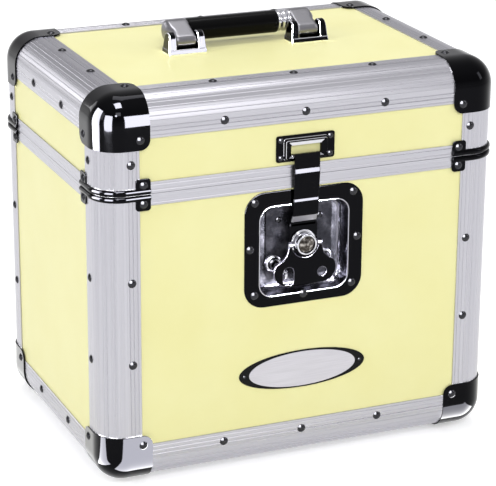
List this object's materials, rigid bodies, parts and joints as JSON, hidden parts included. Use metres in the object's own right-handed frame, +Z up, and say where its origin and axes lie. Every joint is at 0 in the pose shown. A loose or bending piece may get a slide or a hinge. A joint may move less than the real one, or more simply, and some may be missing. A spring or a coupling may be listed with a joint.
{
  "type": "record carrying case",
  "caption": "Upright record carrying case with a deep hinged lid, metal edge trim and ball corners, a recessed twist latch on the front and a folding top handle.",
  "frame": {"origin": "centre of the case's footprint, at the height of the undersides of its feet", "axes": "+X to the right along the front, +Y from the front to the hinged back, +Z up"},
  "size_m": [0.3886, 0.288, 0.3847],
  "materials": {
    "yellow_laminate": "satin plastic-faced plywood",
    "anodised_aluminium": "ribbed, satin anodised",
    "chromed_steel": "polished",
    "lining_foam": "matt black foam",
    "black_rubber": "matt",
    "black_grip": "glossy",
    "badge_enamel": "silver plate with a black border"
  },
  "bodies": {
    "base": {"base_front_panel": "yellow_laminate", "base_back_panel": "yellow_laminate", "base_left_panel": "yellow_laminate", "base_right_panel": "yellow_laminate", "base_bottom_panel": "yellow_laminate", "base_post_front_left": "anodised_aluminium", "base_post_front_right": "anodised_aluminium", "base_post_back_left": "anodised_aluminium", "base_post_back_right": "anodised_aluminium", "base_rail_front": "anodised_aluminium", "base_rail_back": "anodised_aluminium", "base_rail_left": "anodised_aluminium", "base_rail_right": "anodised_aluminium", "base_rim_front": "anodised_aluminium", "base_rim_back": "anodised_aluminium", "base_rim_left": "anodised_aluminium", "base_rim_right": "anodised_aluminium", "base_ball_corners": "chromed_steel", "base_clamps": "chromed_steel", "base_rivets": "chromed_steel", "base_lining": "lining_foam", "rubber_feet": "black_rubber", "latch_dish": "chromed_steel", "latch_plate": "chromed_steel", "padlock_staple": "chromed_steel", "dish_rivets": "chromed_steel", "badge_plate": "badge_enamel", "badge_rivets": "chromed_steel", "hinge_base_leaves": "chromed_steel", "hinge_pins": "chromed_steel"},
    "lid": {"lid_top_panel": "yellow_laminate", "lid_front_panel": "yellow_laminate", "lid_back_panel": "yellow_laminate", "lid_left_panel": "yellow_laminate", "lid_right_panel": "yellow_laminate", "lid_rail_front": "anodised_aluminium", "lid_rail_back": "anodised_aluminium", "lid_rail_left": "anodised_aluminium", "lid_rail_right": "anodised_aluminium", "lid_posts": "anodised_aluminium", "lid_rim_front": "anodised_aluminium", "lid_rim_back": "anodised_aluminium", "lid_rim_left": "anodised_aluminium", "lid_rim_right": "anodised_aluminium", "lid_ball_corners": "chromed_steel", "lid_clamps": "chromed_steel", "lid_rivets": "chromed_steel", "lid_lining": "lining_foam", "keeper": "chromed_steel", "keeper_rivets": "chromed_steel", "hinge_lid_leaves": "chromed_steel", "handle_brackets": "chromed_steel", "bracket_screws": "chromed_steel", "handle_pins": "chromed_steel"},
    "handle": {"handle_end_caps": "chromed_steel", "handle_grip": "black_grip"},
    "latch_turner": {"latch_hub": "chromed_steel", "wing_pin": "chromed_steel"},
    "wing": {"latch_wing": "chromed_steel"},
    "hook": {"latch_hook": "chromed_steel"}
  },
  "joints": [
    {"name": "lid_hinge", "type": "hinge", "parent": "base", "child": "lid", "pos_m": [0, 0.1408, 0.2747], "axis": [-1, 0, 0], "range_deg": [0, 105]},
    {"name": "handle_swing", "type": "hinge", "parent": "lid", "child": "handle", "pos_m": [0, -0.0025, 0.3698], "axis": [1, 0, 0], "range_deg": [0, 155.8]},
    {"name": "latch_turn", "type": "hinge", "parent": "base", "child": "latch_turner", "pos_m": [0, -0.136, 0.2116], "axis": [0, 1, 0], "range_deg": [0, 180]},
    {"name": "wing_flip", "type": "hinge", "parent": "latch_turner", "child": "wing", "pos_m": [0, -0.139, 0.2116], "axis": [-1, 0, 0], "range_deg": [0, 90]},
    {"name": "hook_slide", "type": "slide", "parent": "base", "child": "hook", "axis": [0, 0, 1], "range_m": [0, 0.008]}
  ],
  "couplings": [
    {"joint": "wing_flip", "follows": "latch_turn", "ratio": 0.5},
    {"joint": "hook_slide", "follows": "latch_turn", "m_per_rad": 0.0025465}
  ]
}
